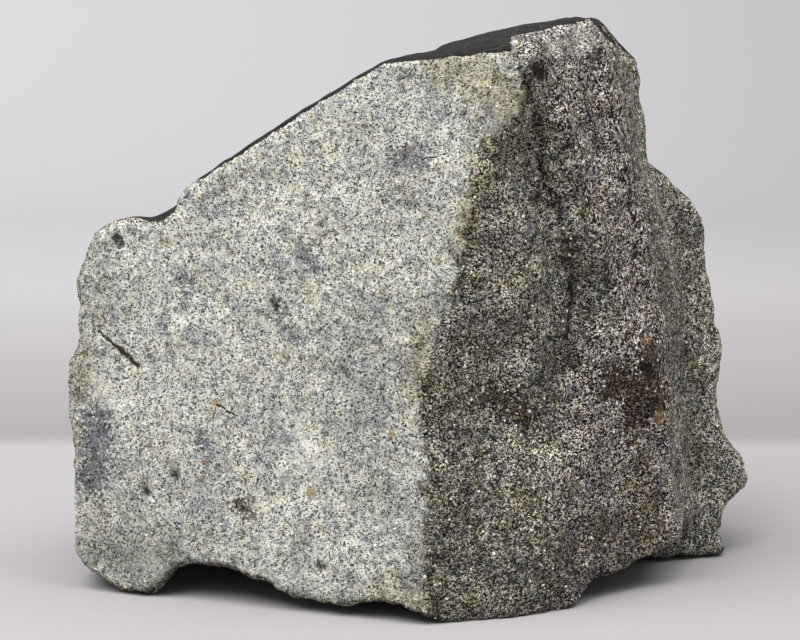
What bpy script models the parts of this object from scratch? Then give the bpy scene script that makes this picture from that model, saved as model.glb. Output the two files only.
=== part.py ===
"""A broken stone meteorite, a rough block about 19 cm wide.

Its front, left, right and underside are fracture faces. Its top and back keep the
smooth melted skin, which has shallow dents like thumbprints.

The frame is +Z up, with X to the right and Y to the back. The origin is the middle
of the stone's box, on the surface that it rests on. Lengths in this file are in
millimetres until the last step, which turns them into metres.
"""
import math
import random

import bmesh
import bpy
import numpy as np
from mathutils import Matrix
from mathutils import Vector
from mathutils import noise

MM = 0.001
SEED = 7

TRIANGLES = 8600
VOXEL = 2.0
ROUNDING_STEPS = 4
ROUNDING_FACTOR = 0.5
HOLLOW_SEGMENTS = 32
HOLLOW_RINGS = 16

STONE_COLOUR = (0.29, 0.28, 0.25, 1)
STONE_ROUGHNESS = 0.9

# The uneven surface: broad swells, and the smaller hackle of a fracture face. On the
# melted skin both are lower, by these shares.
SWELL_SIZE = 34
SWELL_HEIGHT = 2.2
SWELL_OCTAVES = 2
SWELL_ON_SKIN = 0.5
HACKLE_SIZE = 11
HACKLE_HEIGHT = 1.0
HACKLE_OCTAVES = 3
HACKLE_ON_SKIN = 0.15
NOISE_FALL = 1
NOISE_STEP = 2
BREAK_BLEND = 4
SKIN_MARGIN = 3
SKIN_ROUNDING_STEPS = 30

# A face is a point on it and the way it looks, as a turn and a lean. A turn of 0 looks
# to the front, 90 to the right and 180 to the back. A lean of 90 looks straight up.
BRIGHT_FACE = ((1, -60, 7), (-19.3, 5.5))
SHADOW_FACE = ((1, -54.5, 60), (20, -3.8))
BAND_FACE = ((25.5, -54.3, 141), (42, 5.3))
UPPER_SIDE_FACE = ((67, -24.5, 81), (75, 12))
LOWER_SIDE_FACE = ((69, -25, 52), (75, 4))
LEFT_FACE = ((-93, -22, 60), (-97, 2))
LEFT_FOOT_FACE = ((-88.5, -28, 4), (-68, -40))
UNDERSIDE = ((0, 0, 4.5), (0, -90))
UNDERCUT = ((42, -44, 0), (78, -64))
BLOCK_BREAKS = (
    BRIGHT_FACE,
    SHADOW_FACE,
    BAND_FACE,
    UPPER_SIDE_FACE,
    LOWER_SIDE_FACE,
    LEFT_FACE,
    LEFT_FOOT_FACE,
    UNDERSIDE,
    UNDERCUT,
)

CROWN_LIP = ((23.6, -54, 149.5), (-45, 76))
CROWN_TOP = ((30, -46, 155.2), (-100, 77))
CROWN_SHOULDER = ((46, -28, 156), (95, 50))
LONG_SLOPE = ((-40, -34, 126), (-105, 58.5))
LEFT_CORNER = ((-86, -24, 98), (-110, 35))
REAR_SIDE_FACE = ((64, 5, 117), (112, 14))
BACK_SLOPE = ((10, 46, 136), (185, 48))
BACK_FACE = ((0, 58, 60), (184, 8))
BACK_LEFT_FACE = ((-74, 34, 60), (222, 9))
BACK_RIGHT_FACE = ((70, 46, 60), (154, 10))
BLOCK_SKIN = (
    CROWN_LIP,
    CROWN_TOP,
    CROWN_SHOULDER,
    LONG_SLOPE,
    LEFT_CORNER,
    REAR_SIDE_FACE,
    BACK_SLOPE,
    BACK_FACE,
    BACK_LEFT_FACE,
    BACK_RIGHT_FACE,
)

LOBE_FRONT = ((80, 8, 60), (22, 4))
LOBE_END = ((88, 16, 60), (96, 7))
LOBE_UNDERSIDE = ((85, 15, 1.5), (0, -90))
LOBE_BREAKS = (LOBE_FRONT, LOBE_END, LOBE_UNDERSIDE)
LOBE_SHOULDER = ((74, 9, 109.5), (118, 54))
LOBE_SKIN = (LOBE_SHOULDER, BACK_RIGHT_FACE, BACK_FACE)

RIB_FRONT = ((60, -9, 120), (35, 5))
RIB_END = ((63.2, 0, 131), (98, 10))
RIB_BREAKS = (RIB_FRONT, RIB_END)
RIB_TOP = ((57, -6, 147.5), (105, 50))
RIB_SKIN = (RIB_TOP, REAR_SIDE_FACE)

# A block is its lowest and highest corners before it is cut, its fracture faces and
# its faces with melted skin.
BLOCKS = {
    "main_block": ((-120, -80, -5), (110, 75, 170), BLOCK_BREAKS, BLOCK_SKIN),
    "rear_lobe": ((20, -30, -5), (110, 75, 125), LOBE_BREAKS, LOBE_SKIN),
    "side_rib": ((48, -30, 70), (90, 25, 160), RIB_BREAKS, RIB_SKIN),
}

# An egg-shaped hollow is its centre and its three radii.
HOLLOWS = {
    "front_arch": ((-51, -30, -4), (24, 60, 14.5)),
    "right_arch": ((55, 12, -6), (20, 34, 12)),
}

# A dent has a start, an end, a reach, a depth and the way that it looks. A depth below
# zero raises a lump.
DOWN = (0, -90)
FORWARD = (0, 0)
ALONG_BRIGHT_FACE = (70.7, 0)
DENTS = (
    ((4, -52, 8), (22, -50, 8), 52, -14, ALONG_BRIGHT_FACE),
    ((2, -57, 4), (26, -56, 4), 16, -3.5, FORWARD),
    ((-77, -31, 6), (-75, -28, 6), 16, -5, DOWN),
    ((12, -56, 6), (36, -48, 6), 20, -7, DOWN),
    ((-33, -46, 6), (-22, -49, 6), 11, -1.8, DOWN),
    ((-25, 34, 5), (10, 40, 5), 26, -6, DOWN),
    ((20, -54, 143), (19, -55, 130), 15, -6, ALONG_BRIGHT_FACE),
    ((29, -49, 125), (42, -42, 82), 9, 3.4, SHADOW_FACE[1]),
    ((40, -47, 132), (51, -39, 84), 10, -2, BAND_FACE[1]),
    ((47, -40, 88), (34, -42, 50), 14, 3, SHADOW_FACE[1]),
    ((62, -31, 62), (66, -29, 40), 10, -2, BAND_FACE[1]),
    ((-13, -57, 78), (-13, -59, 34), 20, 1.2, BRIGHT_FACE[1]),
    ((-36, -47, 83), (-35, -47, 81), 7, 1.6, BRIGHT_FACE[1]),
    ((-93, -24, 60), (-93, -24, 49), 11, -2.6, LEFT_FACE[1]),
    ((-71, -30, 107), (-69, -14, 107), 10, 5, LONG_SLOPE[1]),
    ((-86, -26, 99), (-84, -12, 99), 13, -2.6, LONG_SLOPE[1]),
    ((10, 38, 149), (18, 40, 151), 20, -5.5, CROWN_TOP[1]),
    ((84, 12, 101), (84, 20, 100), 11, 2, LOBE_END[1]),
    ((85, 14, 84), (85, 22, 82), 16, 3, LOBE_END[1]),
    ((90, 18, 61), (90, 22, 61), 9, -2, LOBE_END[1]),
    ((89, 18, 47), (89, 24, 46), 10, 2.5, LOBE_END[1]),
    ((93, 18, 23), (93, 28, 23), 14, -6, LOBE_END[1]),
    ((95, 14, 9), (93, 19, 11), 12, 8, LOBE_END[1]),
    ((96, 16, 1), (95, 23, 0), 12, 4, LOBE_END[1]),
)
# Thumbprints lie on the melted skin, at least this far from its broken edge.
THUMBPRINTS = 26
THUMBPRINT_REACH = (17, 24)
THUMBPRINT_DEPTH = (2.4, 4.4)
THUMBPRINT_SPACING = 21
THUMBPRINT_MARGIN = 15


def looks_along(way):
    """Unit vector of the way that a face looks."""
    turn, lean = (math.radians(angle) for angle in way)
    return Vector((math.sin(turn) * math.cos(lean), -math.cos(turn) * math.cos(lean), math.sin(lean)))


def new_object(name, bm, collection):
    mesh = bpy.data.meshes.new(name)
    bm.to_mesh(mesh)
    bm.free()
    thing = bpy.data.objects.new(name, mesh)
    collection.objects.link(thing)
    return thing


def cut_away(bm, place, outwards):
    """Remove what lies past a plane, and return the edges round the opening."""
    everything = bm.verts[:] + bm.edges[:] + bm.faces[:]
    cut = bmesh.ops.bisect_plane(bm, geom=everything, plane_co=place, plane_no=outwards, clear_outer=True)
    return [item for item in cut["geom_cut"] if isinstance(item, bmesh.types.BMEdge)]


def cut_block(name, low, high, faces, collection):
    """A box between two corners, cut down by flat faces."""
    low = Vector(low)
    high = Vector(high)
    bm = bmesh.new()
    bmesh.ops.create_cube(bm, size=1)
    bmesh.ops.scale(bm, vec=high - low, verts=bm.verts)
    bmesh.ops.translate(bm, vec=(low + high) / 2, verts=bm.verts)
    for place, way in faces:
        bmesh.ops.contextual_create(bm, geom=cut_away(bm, place, looks_along(way)))
    bmesh.ops.recalc_face_normals(bm, faces=bm.faces)
    return new_object(name, bm, collection)


def hollow_cutter(name, centre, radii, collection):
    """A smooth egg-shaped cutter."""
    bm = bmesh.new()
    bmesh.ops.create_uvsphere(bm, u_segments=HOLLOW_SEGMENTS, v_segments=HOLLOW_RINGS, radius=1)
    bm.transform(Matrix.Translation(centre) @ Matrix.Diagonal((*radii, 1)))
    return new_object(name, bm, collection)


def join_by_boolean(thing, other, operation):
    step = thing.modifiers.new(other.name, "BOOLEAN")
    step.object = other
    step.operation = operation
    step.solver = "EXACT"


def evaluated_mesh(thing):
    depsgraph = bpy.context.evaluated_depsgraph_get()
    return bpy.data.meshes.new_from_object(thing.evaluated_get(depsgraph))


def rough_stone(collection):
    """The cut blocks joined, hollowed underneath and meshed evenly."""
    blocks = [
        cut_block(name, low, high, breaks + skin, collection)
        for name, (low, high, breaks, skin) in BLOCKS.items()
    ]
    stone = blocks[0]
    for block in blocks[1:]:
        join_by_boolean(stone, block, "UNION")
    for name, (centre, radii) in HOLLOWS.items():
        join_by_boolean(stone, hollow_cutter(name, centre, radii, collection), "DIFFERENCE")
    even = stone.modifiers.new("even_mesh", "REMESH")
    even.mode = "VOXEL"
    even.voxel_size = VOXEL
    rounding = stone.modifiers.new("rounded_edges", "SMOOTH")
    rounding.factor = ROUNDING_FACTOR
    rounding.iterations = ROUNDING_STEPS
    return evaluated_mesh(stone)


def fade(distance, reach):
    """1 at no distance, falling smoothly to 0 at the reach."""
    return np.clip(1 - (distance / reach) ** 2, 0, 1) ** 2


def distance_to_line(points, start, end):
    start = np.array(start, float)
    along = np.array(end, float) - start
    length = np.linalg.norm(along)
    share = np.clip((points - start) @ along / length**2, 0, 1) if length else np.zeros(len(points))
    return np.linalg.norm(points - start - share[:, None] * along, axis=1)


def press(points, start, end, reach, depth, outwards):
    """Push the points near a line in, against the way that points outwards."""
    strength = depth * fade(distance_to_line(points, start, end), reach)
    points -= strength[:, None] * np.array(outwards)


def farthest_out(points, faces):
    """Distance of each point outside the farthest of some faces, negative inside all."""
    return np.max([(points - np.array(place)) @ np.array(looks_along(way)) for place, way in faces], axis=0)


def past_the_break(points):
    """How far each point lies from the edge of the melted skin, negative on the skin."""
    nearest = np.full(len(points), np.inf)
    past = np.zeros(len(points))
    for low, high, breaks, skin in BLOCKS.values():
        from_breaks = farthest_out(points, breaks)
        from_skin = farthest_out(points, skin)
        from_box = np.maximum(np.array(low) - points, points - np.array(high)).max(axis=1)
        outside = np.maximum.reduce([from_breaks, from_skin, from_box])
        past = np.where(outside < nearest, from_breaks - from_skin, past)
        nearest = np.minimum(outside, nearest)
    return past


def thumbprint_places(points, past):
    """Seeded places on the melted skin, spaced apart and clear of its broken edge."""
    chance = random.Random(SEED)
    candidates = [index for index in range(len(points)) if past[index] < -THUMBPRINT_MARGIN]
    places = []
    while len(places) < THUMBPRINTS and candidates:
        index = candidates.pop(chance.randrange(len(candidates)))
        if all(np.linalg.norm(points[index] - points[other]) > THUMBPRINT_SPACING for other in places):
            places.append(index)
    return places


def relief(point, broken):
    """How far the surface stands out or in at a place, in millimetres."""
    swell = SWELL_HEIGHT * noise.fractal(point / SWELL_SIZE, NOISE_FALL, NOISE_STEP, SWELL_OCTAVES)
    hackle = HACKLE_HEIGHT * noise.fractal(point / HACKLE_SIZE, NOISE_FALL, NOISE_STEP, HACKLE_OCTAVES)
    swell_share = SWELL_ON_SKIN + (1 - SWELL_ON_SKIN) * broken
    hackle_share = HACKLE_ON_SKIN + (1 - HACKLE_ON_SKIN) * broken
    return swell * swell_share + hackle * hackle_share


def read_points(mesh):
    points = np.empty(len(mesh.vertices) * 3)
    mesh.vertices.foreach_get("co", points)
    return points.reshape(-1, 3)


def write_points(mesh, points):
    mesh.vertices.foreach_set("co", points.ravel())
    mesh.update()


def soften_skin(mesh, past):
    """Round off the edges between the faces of melted skin."""
    bm = bmesh.new()
    bm.from_mesh(mesh)
    skin = [vertex for vertex in bm.verts if past[vertex.index] < -SKIN_MARGIN]
    for _ in range(SKIN_ROUNDING_STEPS):
        bmesh.ops.smooth_vert(
            bm, verts=skin, factor=ROUNDING_FACTOR, use_axis_x=True, use_axis_y=True, use_axis_z=True
        )
    bm.to_mesh(mesh)
    bm.free()


def sculpt(mesh):
    """Dents, lumps, thumbprints and the uneven surface, on the evenly meshed stone."""
    past = past_the_break(read_points(mesh))
    soften_skin(mesh, past)
    points = read_points(mesh)
    for start, end, reach, depth, way in DENTS:
        press(points, start, end, reach, depth, looks_along(way))
    write_points(mesh, points)
    chance = random.Random(SEED)
    for index in thumbprint_places(points, past):
        reach = chance.uniform(*THUMBPRINT_REACH)
        depth = chance.uniform(*THUMBPRINT_DEPTH)
        place = points[index].copy()
        press(points, place, place, reach, depth, mesh.vertices[index].normal)
    write_points(mesh, points)
    broken = np.clip(past / BREAK_BLEND + 0.5, 0, 1)
    heights = [relief(vertex.co, share) for vertex, share in zip(mesh.vertices, broken)]
    outwards = np.array([vertex.normal for vertex in mesh.vertices])
    write_points(mesh, points + outwards * np.array(heights)[:, None])


def stand_on_floor(bm):
    """Cut the feet off flat at the floor."""
    bmesh.ops.holes_fill(bm, edges=cut_away(bm, (0, 0, 0), looks_along(DOWN)), sides=0)
    bmesh.ops.triangulate(bm, faces=bm.faces)


def plan_middle(bm):
    """Middle of the stone's box, on the floor."""
    sides = [[vertex.co[axis] for vertex in bm.verts] for axis in range(2)]
    return Vector([(min(side) + max(side)) / 2 for side in sides] + [0])


def stone_material():
    material = bpy.data.materials.new("broken_chondrite")
    material.use_nodes = True
    shader = material.node_tree.nodes["Principled BSDF"]
    shader.inputs["Base Color"].default_value = STONE_COLOUR
    shader.inputs["Roughness"].default_value = STONE_ROUGHNESS
    return material


def make_stone(stone_collection, working_collection):
    mesh = rough_stone(working_collection)
    sculpt(mesh)
    working = bpy.data.objects.new("working_stone", mesh)
    working_collection.objects.link(working)
    thin = working.modifiers.new("fewer_triangles", "DECIMATE")
    thin.ratio = TRIANGLES / sum(len(face.vertices) - 2 for face in mesh.polygons)
    thin.use_collapse_triangulate = True
    bm = bmesh.new()
    bm.from_mesh(evaluated_mesh(working))
    stand_on_floor(bm)
    middle = plan_middle(bm) * MM
    bm.transform(Matrix.Scale(MM, 4))
    stone = new_object("meteorite", bm, stone_collection)
    stone.location = -middle
    stone.data.materials.append(stone_material())


def main():
    for thing in list(bpy.data.objects):
        bpy.data.objects.remove(thing)
    scene = bpy.context.scene
    stone_collection = bpy.data.collections.new("ll_chondrite_meteorite")
    working_collection = bpy.data.collections.new("blocks_and_cutters")
    scene.collection.children.link(stone_collection)
    scene.collection.children.link(working_collection)
    make_stone(stone_collection, working_collection)
    for thing in working_collection.objects:
        thing.hide_render = True
        thing.display_type = "WIRE"


main()
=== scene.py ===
"""A broken stone meteorite on a pale sheet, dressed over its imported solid.

The stone is about 19 cm wide. Fracture faces show its granular inside, and a thin dark
skin, melted in flight, is left on its top and back. Positions and sizes below are in
millimetres in the stone's design frame, where X is to the right, Y is to the back and
Z is up.
"""
import math

import bmesh
import bpy
import numpy as np
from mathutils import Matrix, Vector
from mathutils import noise
from mathutils.kdtree import KDTree


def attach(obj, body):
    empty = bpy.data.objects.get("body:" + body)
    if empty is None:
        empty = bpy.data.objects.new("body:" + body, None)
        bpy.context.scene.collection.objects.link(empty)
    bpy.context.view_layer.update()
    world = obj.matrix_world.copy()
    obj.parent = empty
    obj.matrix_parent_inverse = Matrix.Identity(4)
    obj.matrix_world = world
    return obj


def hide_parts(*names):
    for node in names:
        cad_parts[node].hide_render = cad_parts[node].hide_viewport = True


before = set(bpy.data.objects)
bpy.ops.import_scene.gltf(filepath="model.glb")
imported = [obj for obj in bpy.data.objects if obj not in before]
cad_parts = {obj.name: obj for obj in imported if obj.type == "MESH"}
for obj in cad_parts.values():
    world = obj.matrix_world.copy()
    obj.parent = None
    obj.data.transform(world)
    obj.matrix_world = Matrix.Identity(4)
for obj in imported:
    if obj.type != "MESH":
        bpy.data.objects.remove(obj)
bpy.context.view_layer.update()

MM = 0.001
# The place of the model's origin in the design frame.
PLAN_MIDDLE = (1.41, 3.92, 0)

# The mesh of the dressed stone: the size of its cells, and how it is rounded. Corners of
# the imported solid's loose triangles that are closer than the last are one corner.
VOXEL = 1.15
ROUNDING_FACTOR = 0.5
ROUNDING_STEPS = 2
SAME_CORNER = 0.01

# A face is a point on it and the way it looks, as a turn and a lean. A turn of 0 looks
# to the front, 90 to the right and 180 to the back. A lean of 90 looks straight up.
BRIGHT_FACE = ((1, -60, 7), (-19.3, 5.5))
SHADOW_FACE = ((1, -54.5, 60), (20, -3.8))
BAND_FACE = ((25.5, -54.3, 141), (42, 5.3))
SIDE_FACES = (((67, -24.5, 81), (75, 12)), ((69, -25, 52), (75, 4)))
LEFT_FACES = (((-93, -22, 60), (-97, 2)), ((-88.5, -28, 4), (-68, -40)))
UNDERSIDES = (((0, 0, 4.5), (0, -90)), ((42, -44, 0), (78, -64)))
BLOCK_BREAKS = (BRIGHT_FACE, SHADOW_FACE, BAND_FACE) + SIDE_FACES + LEFT_FACES + UNDERSIDES
REAR_SIDE_FACE = ((64, 5, 117), (112, 14))
BACK_FACE = ((0, 58, 60), (184, 8))
BACK_RIGHT_FACE = ((70, 46, 60), (154, 10))
BLOCK_SKIN = (
    ((23.6, -54, 149.5), (-45, 76)),
    ((30, -46, 155.2), (-100, 77)),
    ((46, -28, 156), (95, 50)),
    ((-40, -34, 126), (-105, 58.5)),
    ((-86, -24, 98), (-110, 35)),
    REAR_SIDE_FACE,
    ((10, 46, 136), (185, 48)),
    BACK_FACE,
    ((-74, 34, 60), (222, 9)),
    BACK_RIGHT_FACE,
)
LOBE_BREAKS = (((80, 8, 60), (22, 4)), ((88, 16, 60), (96, 7)), ((85, 15, 1.5), (0, -90)))
LOBE_SKIN = (((74, 9, 109.5), (118, 54)), BACK_RIGHT_FACE, BACK_FACE)
RIB_BREAKS = (((60, -9, 120), (35, 5)), ((63.2, 0, 131), (98, 10)))
RIB_SKIN = (((57, -6, 147.5), (105, 50)), REAR_SIDE_FACE)
# A block is its lowest and highest corners, its fracture faces and its melted faces.
BLOCKS = (
    ((-120, -80, -5), (110, 75, 170), BLOCK_BREAKS, BLOCK_SKIN),
    ((20, -30, -5), (110, 75, 125), LOBE_BREAKS, LOBE_SKIN),
    ((48, -30, 70), (90, 25, 160), RIB_BREAKS, RIB_SKIN),
)
# Right of this, in front of this and below this, the lobe's corner is all broken.
BROKEN_CORNER = (58, 14, 112)
# The crown's front is chipped. Right of this and in front of this, the rock below this
# plane, which looks down, is broken, and above it the skin is whole this far to the right.
CHIP_CORNER = (24.5, -28)
CHIP_PLANE = ((25.1, -44.3, 151.7), (80.2, -76.1))
CHIP_END = 36
# Left of this and in front of this, the skin is chipped back to the crest: the stone is
# broken wherever it looks this way by this much.
CRESTED_CORNER = (-58, -12)
CREST_WAY = (0, 10)
CREST_FACING = 0.2
# Up to the first distance from the skin's edge, the surface's own slope says which side a
# point is on, and past the second one the faces do.
SLOPE_DECIDES = (4, 8)
# The skin's edges at the back wander by about this much, in bends of this size: not at all
# in front of the first place, and fully behind the second. Each direction's wander is read
# this far from the last one's.
SKIN_EDGE_WANDER = 7
SKIN_EDGE_SIZE = 16
WANDER_STARTS = (-20, 0)
WANDER_SPACING = 100

# The bright face is where the stone turns to the light: how nearly the surface looks the
# face's way, from none of it to all of it. It is painted paler than the faces turned away,
# which is partly painted light. Its knob at the top right, between these heights and places,
# turns further away and is as bright, so some is added there: painted light on the knob.
TURNED_TO_LIGHT = (0.7, 0.85)
KNOB_UP = (111, 119)
KNOB_ACROSS = (4, 10)
KNOB_TURN = 0.5
# The bright face ends on the right at the crest and, at its knob, at the band's sharp
# edge: heights, and how far right the edge is at each. It wanders by about this much.
BRIGHT_EDGE_HEIGHTS = (
    6.8, 16.8, 35.2, 45.4, 53.3, 63.8, 74.5, 84.9, 99.1, 110.7, 119.6, 126.4, 129.6,
    132.8, 137.4, 143.3, 148.7,
)
BRIGHT_EDGE_PLACES = (
    3.3, 2.3, 3, 2, 1.2, 1.2, 5.8, 8.6, 12.1, 13.9, 15.4, 17.4, 21.9,
    26.5, 28, 27.4, 24.6,
)
EDGE_WANDER = 2.2
EDGE_WANDER_SIZE = 4
EDGE_HALF_WIDTH = 0.5
# It is the flattest face: swells this close to its plane are lowered by this share.
CLOSE_TO_FACE = (3, 6)
BRIGHT_FACE_FLATTENED = 0.55

# The band comes in between these distances inside its edges, and its upright fibres
# between these heights.
BAND_EDGE = (-0.2, 0.5)
FIBRES_UP = (20, 60)
# Lower down, the band's rock spreads over the foot of the shaded face: how far right, how
# low and how far forward the foot is.
FOOT_ACROSS = (34, 42)
FOOT_UP = (66, 84)
FOOT_FORWARD = (10, 18)
# Splinters crowd along both edges of the band, and are fewer this far inside it.
SPLINTERS_AT_EDGE = 0.7
FEWER_INSIDE = 0.5
SPLINTERS_THIN_OUT = (1.5, 4)

# What is seen on the fracture faces. A mark is a stroke with a start, an end and half
# its width.
BLUE_CLASTS = (
    ((-86.5, -25.5, 46), (-88, -26.5, 31), 4.6),
    ((-4.5, -47, 120.5), (0.5, -47.5, 121.5), 3.4),
    ((-58, -35, 44), (-56, -36, 42), 1.6),
    ((-38, -42, 47), (-34, -43, 46), 1.8),
    ((-30.1, -40.8, 95.6), (-27.1, -42.5, 92.7), 2),
    ((-62.4, -28.8, 87.4), (-60.4, -29.9, 84.4), 1.6),
    ((-36.6, -40.2, 80.5), (-32.9, -42.8, 73.3), 1.3),
)
RUST_SPOTS = (
    ((-27.8, -47.3, 32.9), (-27.6, -47.3, 31.8), 1.1),
    ((-5.8, -52.6, 49.8), (-5.6, -52.8, 49.1), 0.8),
    ((-30.6, -43.8, 67.0), (-30.3, -43.9, 66.4), 0.6),
    ((-56.3, -37.5, 38.1), (-55.7, -37.7, 37.6), 0.7),
    ((-53.4, -36.2, 54.3), (-52.7, -36.4, 53.8), 0.8),
    ((-1.2, -46.6, 122.8), (-1.1, -46.7, 122.4), 0.5),
    ((65.6, -31.5, 50.8), (65.4, -31.4, 49.2), 1.3),
    ((62.4, -30.5, 70.9), (62.4, -31.0, 70.0), 0.9),
)
# Pits: sunk into the surface and painted near-black inside, painted shade in the hollows.
SHADED_PITS = (
    ((-37.6, -39.9, 82.0), (-36.8, -40.1, 80.9), 1.1),
    ((-45.9, -42.3, 26.7), (-45.4, -42.6, 26.1), 1.0),
    ((-65, -34.1, 34.1), (-64.6, -34.2, 33.4), 0.9),
    ((-81, -22.4, 97.3), (-79.7, -23.4, 95.5), 1.2),
    ((-73.6, -31.5, 30), (-72.8, -31.8, 28.6), 1.1),
    ((-25.6, -50.6, 13.6), (-24.6, -51.0, 12.8), 0.9),
    ((31.2, -52.4, 144.2), (32.2, -50.5, 142.1), 1.5),
    ((62.0, -33.8, 63.1), (62.7, -33.6, 61.6), 1.6),
)
BROWN_STAINS = (
    ((54.3, -35.2, 59.5), (64, -31, 56), 5.5),
    ((60, -34, 50), (63, -32, 66), 4.5),
    ((32.2, -43.2, 111.1), (32.6, -43.0, 109.6), 1.3),
    ((-46.8, -41.3, 27.2), (-45, -42, 25.4), 1.9),
    ((20.2, -46.3, 59.3), (30.1, -43.2, 51.6), 3),
)
OLIVE_STAINS = (
    ((8.1, -47.0, 146.8), (23, -54, 136), 6),
    ((19, -54, 125), (12, -55.5, 98), 3.4),
    ((1, -54.5, 78), (0.0, -53.5, 59.7), 3),
    ((-8, -58, 8), (6.0, -59.1, 4.4), 3.5),
    ((-93, -24, 66), (-92, -23, 57), 3.4),
    ((26.7, -48.7, 31.1), (33, -40, 22), 4),
    ((60.6, -30.8, 34.8), (64.8, -27.3, 12.2), 4),
)
PALE_PATCHES = (
    ((-33.1, -42.9, 47.5), (-27, -45.5, 41), 4),
    ((-72, -34.3, 9.6), (-71, -34.4, 8.4), 2),
    ((-86, -24.6, 57), (-84, -25, 54), 2),
    ((21.2, -54.5, 131.6), (21.6, -54.5, 130.6), 1.4),
    ((36, -45, 150), (46.3, -34.1, 151.9), 3),
)
# Painted shade in the shallow trough on the bright face and down the valley on the band.
TROUGH_SHADE = (
    ((-13, -48, 78), (-13.5, -52, 36), 8),
    ((50, -40, 92), (34, -42, 50), 5),
)
# Painted shade: strokes painted darker at the foot of the shaded face, along the left and lower
# rims, down the valley on the band and in the recess between the band and the lobe, where shade
# falls.
PAINTED_SHADE = (
    ((12, -54, 10), (50, -40, 14), 15),
    ((-86, -27, 12), (-68, -34, 10), 8),
    ((14, -54, 60), (12, -56, 16), 8),
    ((-91, -22, 92), (-92, -22, 30), 2),
    ((61, -18, 150), (65, -20, 112), 6),
    ((66, -17, 100), (71, -16, 24), 5),
    ((74.2, 9.6, 106.9), (74.7, 7.5, 95.7), 3),
    ((74.7, 7.5, 95.7), (74.7, -2.1, 77.1), 3),
    ((74.7, -2.1, 77.1), (77.5, 6.2, 46.8), 3),
    ((77.5, 6.2, 46.8), (79.4, 4.3, 26.7), 3),
    ((53.8, -24.3, 145.0), (55.9, -23.6, 135.4), 1.5),
    ((55.9, -23.6, 135.4), (60.4, -13.8, 122.9), 1.5),
    ((46.1, -38.7, 90.5), (38.4, -39.3, 71.9), 2.5),
    ((38.4, -39.3, 71.9), (34.5, -41.4, 50.7), 3),
)
# A painted shadow along the left edge of the band, which stands a little proud.
SEAM_SHADOW = (
    ((24.4, -53.2, 148.7), (27.6, -54.7, 142.2), 1),
    ((27.6, -54.7, 142.2), (31.2, -47.7, 130.4), 1),
    ((31.2, -47.7, 130.4), (32.6, -44.0, 116.9), 1),
    ((32.6, -44.0, 116.9), (37.5, -42.5, 106.8), 1),
    ((37.5, -42.5, 106.8), (40.6, -38.7, 91.9), 1),
    ((40.6, -38.7, 91.9), (41.5, -35.7, 82.1), 1),
    ((41.5, -35.7, 82.1), (40.0, -38.7, 71.8), 1),
)
# The long dark needle on the bright face, then thin cracks.
CRACKS = (
    ((-85.8, -22.5, 71.3), (-81, -25, 67.6), 0.45),
    ((-81, -25, 67.6), (-75.0, -27.0, 62.7), 0.8),
    ((-35.9, -40.5, 79.7), (-32.9, -42.8, 75.3), 0.3),
    ((-39.9, -46.4, 17.9), (-40.3, -45.5, 7.5), 0.25),
    ((-53, -36.3, 54), (-48.0, -38.0, 51.3), 0.35),
    ((2.0, -48.3, 120.5), (8, -50, 122), 0.25),
)
# The distance from each kind of mark is kept on the surface under this name.
MARKS = {
    "from_seam_shadow": SEAM_SHADOW,
    "from_painted_shade": PAINTED_SHADE,
    "from_trough_shade": TROUGH_SHADE,
    "from_pale_patches": PALE_PATCHES,
    "from_olive_stains": OLIVE_STAINS,
    "from_blue_clasts": BLUE_CLASTS,
    "from_brown_stains": BROWN_STAINS,
    "from_shaded_pits": SHADED_PITS,
    "from_rust_spots": RUST_SPOTS,
}

# Relief on the surface: the size of each kind of lump and how high it stands, with what
# is added on the darker faces. Hackle is the coarse unevenness of a break.
HACKLE_SIZE = 5.5
HACKLE_HEIGHT = 0.24
HACKLE_ON_DARK = 0.32
CHIP_SIZE = 2.2
CHIP_HEIGHT = 0.14
CHIP_ON_DARK = 0.16
GROOVE_SIZE = 5
GROOVE_STRETCH = 3.5
GROOVE_HEIGHT = 0.65
FIBRE_SIZE = 2.6
FIBRE_STRETCH = 4.5
FIBRE_HEIGHT = 0.4
SKIN_HEIGHT = 0.2
# The band stands this proud of the rock on both sides, with a step this wide that fades
# out between these distances.
BAND_STEP = 0.6
BAND_STEP_WIDTH = 0.5
BAND_STEP_FADES = (1, 4)
# The depth of the pits and of the cracks' grooves, and the slope of their sides.
PIT_DEPTH = 0.9
CRACK_DEPTH = 0.5
MARK_SLOPE = (-0.6, 0.9)
# The surface goes from melted to broken between these distances past the skin's edge.
BREAK_EDGE = (-0.5, 1.5)
# How many layers of ever finer lumps rough and smoother relief have, how quickly they get
# lower, and how many times finer each is than the last.
ROUGH_LAYERS = 3
SMOOTH_LAYERS = 2
LAYER_FADE = 1
LAYER_STEP = 2

# Loose-standing grains on the broken faces, each a small lump sunk into the surface by
# this share of its radius, and squashed and stretched between these limits.
GRAIN_SEED = 11
GRAINS_PER_CM2 = 26
GRAIN_RADIUS = (0.24, 0.62)
GRAIN_SUNK = 0.35
GRAIN_FLATTEST = (0.65, 0.65, 0.5)
GRAIN_LONGEST = (1.25, 1.25, 0.9)
# Grains stand clear of the skin's edge and of the pits, are fewer on the bright face, and
# stop where the surface looks down.
CLEAR_OF_SKIN = (1.2, 2.5)
CLEAR_OF_PITS = (0.2, 1)
FEWER_ON_BRIGHT = 0.45
LOOKS_DOWN = (-0.75, -0.3)

# Sockets that only a number tells apart: those of a colour mix, of a mix of values and of
# a random number.
SHARE, UNDER, OVER, MIXED = 0, 6, 7, 2
VALUE_UNDER, VALUE_OVER = 2, 3
LOWEST, HIGHEST, RANDOM_NUMBER = 2, 3, 1


def looks_along(way):
    """Unit vector of the way that a face looks."""
    turn, lean = (math.radians(angle) for angle in way)
    flat = math.cos(lean)
    return np.array((math.sin(turn) * flat, -math.cos(turn) * flat, math.sin(lean)))


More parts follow.
